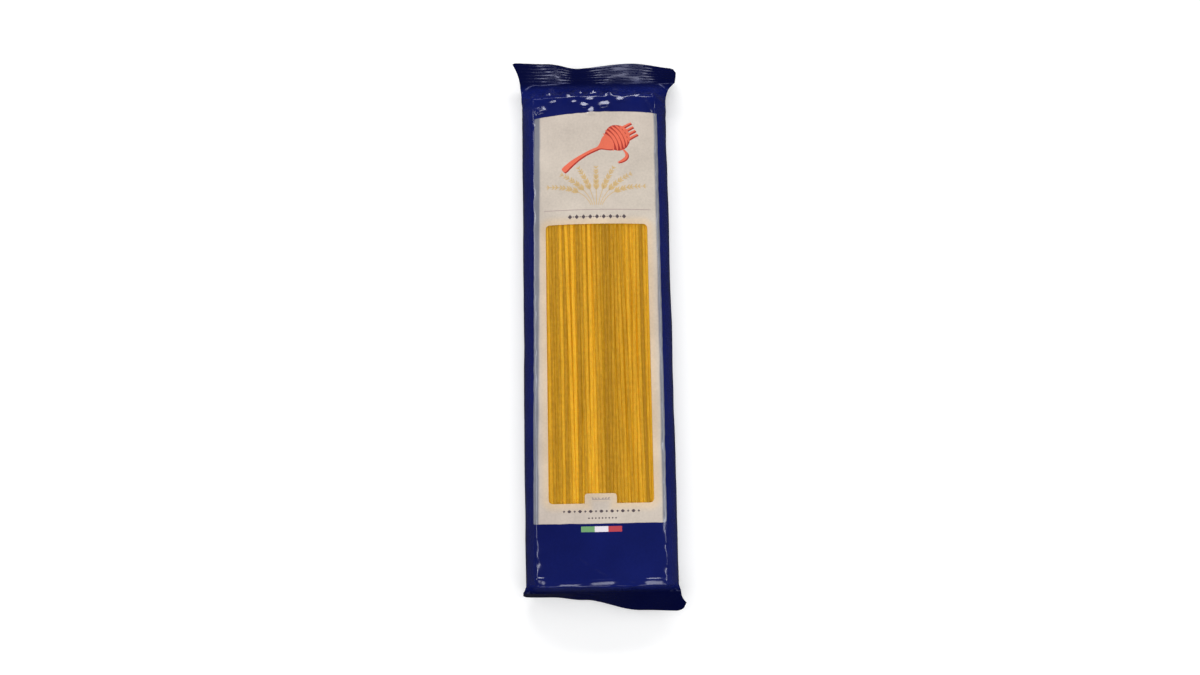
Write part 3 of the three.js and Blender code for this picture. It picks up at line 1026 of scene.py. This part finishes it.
def strand_tone(x, z, own):
    """How light a strand is: by chance, by its place in the bundle, and darker with painted shade at a few
    places.
    """
    tone = OWN_TONE * own + PLACE_TONE * float(soft_noise(x, z, *TONE_PATCH, 51))
    return tone - sum(dark * math.exp(-(((x - place) / PAINTED_SHADE_HALF) ** 2)) for place, dark in PAINTED_SHADE_STRANDS)


def rod_faces(first, rings, around):
    """The faces of a rod whose rings of points start at `first`, with its two end points after them."""
    faces = []
    for i in range(rings - 1):
        for j in range(around):
            a, b = first + i * around + j, first + i * around + (j + 1) % around
            faces.append((a, b, b + around, a + around))
    start = first + rings * around
    for j in range(around):
        beside = (j + 1) % around
        faces.append((first + beside, first + j, start))
        faces.append((start - around + j, start - around + beside, start + 1))
    return faces


def make_strands():
    """Every strand as a closed round rod, joined into one piece."""
    (x, z), rng = strand_centres()
    angles = -2 * np.pi * np.arange(STRAND_SIDES) / STRAND_SIDES
    middle = STRAND_STATIONS // 2
    points, faces, tones = [], [], []
    for k in range(x.shape[1]):
        start, end = BUNDLE[0] + rng.uniform(0, UNEVEN_ENDS), BUNDLE[1] - rng.uniform(0, UNEVEN_ENDS)
        ys = np.linspace(start, end, STRAND_STATIONS)
        radius = STRAND / 2 * rng.uniform(1 - THICKNESS_SPREAD, 1 + THICKNESS_SPREAD)
        tone = strand_tone(x[middle, k], z[middle, k], rng.uniform(-1, 1))
        tones.extend([tone] * (STRAND_STATIONS * STRAND_SIDES + 2))
        faces.extend(rod_faces(len(points), STRAND_STATIONS, STRAND_SIDES))
        for i in range(STRAND_STATIONS):
            ring_x = x[i, k] + radius * np.cos(angles)
            ring_z = z[i, k] + radius * np.sin(angles)
            points.extend(zip(ring_x, np.full(STRAND_SIDES, ys[i]), ring_z))
        points.extend((x[i, k], ys[i], z[i, k]) for i in (0, -1))
    strands = make_mesh("spaghetti_strands", points, faces, {"tone": tones})
    strands.data.set_sharp_from_angle(angle=SHARP_ANGLE)
    finish_piece(strands, spaghetti_painted_glow_material("dried_pasta", *PASTA), "dried_pasta", "spaghetti")


def make_core():
    """The strands deep in the bundle, as one ribbed body that only shows through the gaps, coloured lighter
    than the strands as painted light in those gaps.
    """
    front = np.linspace(-SECTION.foot, SECTION.foot, CORE_ACROSS)
    under = SECTION.foot + CORE_UNDER
    outline_x, outline_z = SECTION.at(np.concatenate([front, [under, -under]]))
    x = outline_x * (BODY_HALF - CORE_FROM_SIDE) / BODY_HALF
    rib = CORE_RIB * np.abs(np.sin(np.pi * x / STRAND_PITCH)) * smoothstep(outline_z, 0, CROWN)
    z = CORE_FLOOR + outline_z * (CROWN - CORE_DEPTH - CORE_FLOOR) / CROWN + rib
    ys = np.linspace(BUNDLE[0] + CORE_FROM_END, BUNDLE[1] - CORE_FROM_END, CORE_ALONG)
    points = [point for y in ys for point in zip(x, np.full(len(x), y), z)]
    points.extend((0, y, CORE_MIDDLE) for y in (ys[0], ys[-1]))
    values = {"tone": np.zeros(len(points))}
    core = make_mesh("spaghetti_core", points, rod_faces(0, CORE_ALONG, len(x)), values)
    finish_piece(core, spaghetti_painted_glow_material("core_pasta_painted_light", *CORE_PASTA_PAINTED_LIGHT), "dried_pasta", "spaghetti")


# Printed shapes. Each is made of ribbons: a path and a width along it.
LINE = 0.025
INK_SINK = 0.02
RIBBON_STEP = 0.7
LANE_STEP = 0.8
INK_SHARP_ANGLE = math.radians(50)


def bend(start, pull, end, count=14):
    """Points along a curve from start to end that is drawn towards pull."""
    t = np.linspace(0, 1, count)[:, None]
    a, b, c = (np.array(p, dtype=float) for p in (start, pull, end))
    return (1 - t) ** 2 * a + 2 * t * (1 - t) * b + t**2 * c


def turned(path, middle, degrees, size=1.0):
    """A path drawn round (0, 0), turned and put in its place."""
    c, s = math.cos(math.radians(degrees)), math.sin(math.radians(degrees))
    path = np.asarray(path, dtype=float) * size
    return np.stack([path[:, 0] * c - path[:, 1] * s, path[:, 0] * s + path[:, 1] * c], axis=1) + middle


def leaf_width(wide):
    return lambda t: wide * np.sqrt(np.sin(np.pi * np.clip(t, 0.012, 0.988)))


def taper_width(start, end):
    return lambda t: lerp(start, end, t)


def diamond_width(high):
    return lambda t: np.maximum(high * (1 - np.abs(2 * t - 1)), 0.06)


class Print:
    """Printed shapes of one ink, each laid on the film as a thin closed skin."""

    def __init__(self, name, level=1):
        self.name = name
        self.lift = LINE * level
        self.points = []
        self.faces = []

    def ribbon(self, path, width):
        path = np.asarray(path, dtype=float)
        run = HalfSection.run(path)
        count = max(3, int(run[-1] / RIBBON_STEP) + 2)
        t = np.linspace(0, 1, count)
        line = np.stack([np.interp(t * run[-1], run, path[:, k]) for k in (0, 1)], axis=1)
        along = np.gradient(line, axis=0)
        along /= np.maximum(np.linalg.norm(along, axis=1, keepdims=True), 1e-9)
        across = np.stack([-along[:, 1], along[:, 0]], axis=1)
        half = (width(t) if callable(width) else np.full(count, float(width))) / 2
        lanes = max(2, int(2 * half.max() / LANE_STEP) + 2)
        offsets = np.linspace(-1, 1, lanes)
        grid = line[:, None, :] + across[:, None, :] * (half[:, None] * offsets[None, :])[..., None]
        self.skin(grid)

    def skin(self, grid):
        """Lays a grid of x, y on the film and closes it underneath and along its edges."""
        rows, columns = grid.shape[:2]
        first = len(self.points)
        flat = grid.reshape(-1, 2)
        heights = [film.front_height(x, y) for x, y in flat]
        for rise in (self.lift, -INK_SINK):
            self.points.extend((x, y, h + rise) for (x, y), h in zip(flat, heights))
        under = rows * columns

        def at(i, j, below=False):
            return first + i * columns + j + (under if below else 0)

        for i in range(rows - 1):
            for j in range(columns - 1):
                cell = [(i, j), (i + 1, j), (i + 1, j + 1), (i, j + 1)]
                self.faces.append([at(*c) for c in reversed(cell)])
                self.faces.append([at(*c, True) for c in cell])
        rim = [(i, 0) for i in range(rows)] + [(rows - 1, j) for j in range(1, columns)]
        rim += [(i, columns - 1) for i in range(rows - 2, -1, -1)]
        rim += [(0, j) for j in range(columns - 2, 0, -1)]
        for a, b in zip(rim, rim[1:] + rim[:1]):
            self.faces.append([at(*a), at(*b), at(*b, True), at(*a, True)])

    def finish(self, colour, mottle=0.12):
        piece = make_mesh(self.name, self.points, self.faces)
        piece.data.set_sharp_from_angle(angle=INK_SHARP_ANGLE)
        finish_piece(piece, ink_material(self.name, colour, mottle), "printed_film")


EMBLEM = {"middle": (2.6, 94.2), "tilt": 29, "size": 1.08}
CORAL = (0.80, 0.155, 0.085)
DARK_RED = (0.42, 0.030, 0.022)
GOLD = (0.62, 0.43, 0.20)
DARK_INK = (0.10, 0.075, 0.085)
SHADOW_DROP = (0.5, -0.6)
TINES = 4
TINE_GAP = 2.15
TWIRL = {"turns": 6, "first": 6.1, "apart": 1.8, "middle": 10.4, "half": 6.8, "reach": 6.5}
RULE_INK = (0.42, 0.32, 0.30)
SPRIG_INK = (0.34, 0.28, 0.27)
# The ears of wheat: how far each leans in degrees and how long it is
WHEAT_EARS = ((-66, 26), (-44, 24.5), (-22, 23), (0, 21.6), (22, 23), (44, 24.5), (66, 26))
WHEAT_FOOT = (0.6, 62.6)
GRAIN_PAIRS = 9
RULE = ((-27.2, 60.1), (29.2, 60.1))
RULE_WIDTH = 0.34
# Rows of marks: the middle in x, y, how many, how far apart, and how wide and high each mark is
MARK_ROWS = (
    (0.7, 56.3, 9, 3.55, 2.2, 2.5),
    (0.7, 56.3, 8, 3.55, 0.75, 0.75),
    (0.2, -96.7, 8, 5.4, 1.2, 1.2),
    (0.2, -96.7, 7, 5.4, 2.0, 2.2),
    (0.7, -100.1, 9, 1.7, 0.95, 0.95),
)
BAR = {"left": -10.2, "third": 6.87, "y": -105.6, "high": 2.8}
BAR_COLOURS = {
    "bar_green": (0.17, 0.36, 0.16),
    "bar_white": (0.80, 0.74, 0.80),
    "bar_red": (0.50, 0.055, 0.075),
}

# The studio, in metres: the floor's half width, where the lamps aim, and each lamp's place, size and
# power
FLOOR = 3
AIM = (0, 0, 0.01)
LAMPS = {
    "left_lamp": ((-0.95, 0.15, 0.85), (0.9, 0.16), 3.2),
    "right_lamp": ((0.95, 0.1, 0.75), (0.8, 0.14), 2.6),
    "far_lamp": ((0.0, 1.09, 0.857), (1.2, 0.24), 9.5),
    "near_lamp": ((0.05, -0.75, 0.95), (1.2, 0.24), 4.0),
}


def print_fork():
    """A tilted fork with a twirl of pasta round its tines, and a dark red edge below it."""
    shadow = Print("fork_shadow", 1)
    fork = Print("fork_print", 2)

    def place(path, drop=(0.0, 0.0)):
        middle = np.add(EMBLEM["middle"], drop)
        return turned(path, middle, EMBLEM["tilt"], EMBLEM["size"])

    def handle_width(t):
        return 1.35 + 1.5 * (1 - smoothstep(t, 0.0, 0.75)) * np.sqrt(smoothstep(t, -0.02, 0.05))

    for layer, drop in ((shadow, SHADOW_DROP), (fork, (0.0, 0.0))):
        handle = place(bend((-21.5, -1.6), (-12, 1.4), (-1.5, 0)), drop)
        layer.ribbon(handle, handle_width)
        layer.ribbon(place([(-2.0, 0), (6.0, 0)], drop), lambda t: lerp(1.3, 8.6, smoothstep(t, 0.1, 0.9)))
        for k in range(TINES):
            y = (k - (TINES - 1) / 2) * TINE_GAP
            layer.ribbon(place([(13.0, y), (19.8, y)], drop), taper_width(1.25, 0.75))
    shadow.ribbon(place([(3.6, -0.2), (16.4, -0.2)]), leaf_width(14.6))
    for k in range(TWIRL["turns"]):
        x = TWIRL["first"] + TWIRL["apart"] * k
        reach = TWIRL["reach"] * math.sqrt(1 - ((x - TWIRL["middle"]) / TWIRL["half"]) ** 2)
        strand = bend((x - 1.1, -reach), (x + 2.2, 0), (x - 1.1, reach))
        fork.ribbon(place(strand), leaf_width(1.6))
    for drop, layer in (((0.45, -0.5), shadow), ((0, 0), fork)):
        layer.ribbon(place(bend((9.4, -6.4), (12.0, -12.4), (4.0, -11.2)), drop), leaf_width(1.5))
    shadow.finish(DARK_RED)
    fork.finish(CORAL, 0.25)


def print_wheat():
    """A low fan of wheat ears in pale gold."""
    wheat = Print("wheat_print")
    for lean, length in WHEAT_EARS:
        direction = np.array([math.sin(math.radians(lean)), math.cos(math.radians(lean))])
        foot = np.array([WHEAT_FOOT[0] + lean * 0.045, WHEAT_FOOT[1]])
        tip = foot + direction * length * np.array([1.0, 0.98])
        tip[1] = max(tip[1], foot[1] + 8.5 - abs(lean) * 0.02)
        pull = foot + np.array([direction[0] * 0.35, 0.8]) * length * 0.5
        stem = bend(foot, pull, tip, 40)
        wheat.ribbon(stem, 0.34)
        steps = np.gradient(stem, axis=0)
        for k in range(GRAIN_PAIRS):
            i = 17 + int(k * 2.5)
            heading = math.degrees(math.atan2(steps[i, 1], steps[i, 0]))
            size = 2.7 - 0.13 * k
            for side in (-1, 1):
                grain = [(0, 0), (size * 0.5, side * 0.32), (size, side * 0.9)]
                wheat.ribbon(turned(grain, stem[i], heading + side * 14), leaf_width(0.95 - 0.04 * k))
    wheat.finish(GOLD, 0.3)


def print_lines():
    """The rule over the window and the rows of small plain marks above and below it."""
    rule = Print("rule_print")
    rule.ribbon(RULE, RULE_WIDTH)
    rule.finish(RULE_INK)
    marks = Print("small_marks")
    for middle, y, count, apart, wide, high in MARK_ROWS:
        for k in range(count):
            x = middle + (k - (count - 1) / 2) * apart
            marks.ribbon([(x - wide / 2, y), (x + wide / 2, y)], diamond_width(high))
    marks.finish(DARK_INK)


def print_tab_sprig():
    """A small pale sprig on the tab."""
    sprig = Print("tab_sprig")
    for side in (-1, 1):
        for k in range(3):
            foot, tip = side * (0.6 + 1.5 * k), side * (1.5 + 1.5 * k)
            sprig.ribbon([(foot, -90.6), (tip, -89.9 + 0.1 * k)], leaf_width(0.7))
    sprig.ribbon([(-4.4, -90.8), (4.4, -90.8)], 0.3)
    sprig.finish(SPRIG_INK)


def print_bar():
    """The small bar in three colours on the blue field."""
    for k, (name, colour) in enumerate(BAR_COLOURS.items()):
        bar = Print(name)
        left = BAR["left"] + k * BAR["third"]
        bar.ribbon([(left, BAR["y"]), (left + BAR["third"], BAR["y"])], BAR["high"])
        bar.finish(colour)


def make_light(name, place, size, power):
    lamp = bpy.data.lights.new(name, "AREA")
    lamp.shape = "RECTANGLE"
    lamp.size, lamp.size_y = size
    lamp.energy = power
    light = bpy.data.objects.new(name, lamp)
    light.location = place
    light.rotation_euler = (Vector(AIM) - Vector(place)).to_track_quat("-Z", "Y").to_euler()
    bpy.context.scene.collection.objects.link(light)


def dimmer_in_gloss(tree, full, in_gloss):
    """A brightness that is lower where a glossy surface mirrors it, as if dark card stood there."""
    glossy = tree.nodes.new("ShaderNodeLightPath").outputs["Is Glossy Ray"]
    return mapped(tree, glossy, 0, 1, full, in_gloss)


def make_floor():
    """A pale floor whose far parts, which the lamps hardly reach, are as bright as the sky."""
    points = [(-FLOOR, -FLOOR, 0), (FLOOR, -FLOOR, 0), (FLOOR, FLOOR, 0), (-FLOOR, FLOOR, 0)]
    mesh = bpy.data.meshes.new("floor")
    mesh.from_pydata(points, [], [(0, 1, 2, 3)])
    floor = bpy.data.objects.new("floor", mesh)
    bpy.context.scene.collection.objects.link(floor)
    material, tree, surface = new_material("pale_floor")
    paper = mixed(tree, noise(tree, 3, 1), (0.88, 0.88, 0.88), (0.90, 0.90, 0.90))
    far_out = add(tree, "ShaderNodeVectorMath", {"operation": "LENGTH"})
    plug(tree, add(tree, "ShaderNodeTexCoord").outputs["Object"], far_out.inputs[0])
    glow = mapped(tree, far_out.outputs["Value"], 0.5, 2.2, 0.25, 0.75, smooth=True)
    principled(
        tree,
        surface,
        Base_Color=mixed(tree, 1.0, paper, dimmer_in_gloss(tree, 1.0, 0.04), "MULTIPLY"),
        Roughness=0.9,
        Specular_IOR_Level=0.1,
        Emission_Color=(1, 1, 1, 1),
        Emission_Strength=times(tree, glow, dimmer_in_gloss(tree, 1.0, 0.0)),
    )
    mesh.materials.append(material)


def make_studio():
    """The floor, a sky that is white to the camera but dim, and four soft lamps low enough that the
    flat film doesn't mirror them."""
    make_floor()
    world = bpy.data.worlds.new("studio")
    world.use_nodes = True
    tree = world.node_tree
    seen = tree.nodes.new("ShaderNodeLightPath").outputs["Is Camera Ray"]
    background = tree.nodes["Background"]
    background.inputs["Color"].default_value = (0.97, 0.98, 1.0, 1)
    brightness = math_node(tree, "MAXIMUM", dimmer_in_gloss(tree, 0.38, 0.02), seen)
    plug(tree, brightness, background.inputs["Strength"])
    bpy.context.scene.world = world
    for name, (place, size, power) in LAMPS.items():
        make_light(name, place, size, power)


def make_camera():
    """The camera looks down on the lying packet, as it was seen."""
    target, elevation, distance, roll = Vector((0.0004, -0.0058, 0.013)), 81.0, 0.6, -1.06
    tilt, twist = math.radians(elevation), math.radians(roll)
    back = Vector((0, -math.cos(tilt), math.sin(tilt)))
    up = Vector((0, math.sin(tilt), math.cos(tilt)))
    across = Vector((1, 0, 0))
    right = math.cos(twist) * across + math.sin(twist) * up
    top = -math.sin(twist) * across + math.cos(twist) * up
    data = bpy.data.cameras.new("camera")
    data.sensor_width = 36.0
    data.lens = 34.05
    data.clip_start = 0.01
    camera = bpy.data.objects.new("camera", data)
    place = target + distance * back
    rows = [(right[i], top[i], back[i], place[i]) for i in range(3)] + [(0, 0, 0, 1)]
    camera.matrix_world = Matrix(rows)
    bpy.context.scene.collection.objects.link(camera)
    bpy.context.scene.camera = camera


film = Film()
groups = {
    "film_crinkle": film_crinkle_group(),
    "ink_mottle": ink_mottle_group(),
    "pasta_grain": pasta_grain_group(),
}
make_camera()
make_studio()
make_pouch()
make_pane()
make_strands()
make_core()
print_fork()
print_wheat()
print_lines()
print_tab_sprig()
print_bar()
bpy.context.scene.view_settings.view_transform = "Standard"
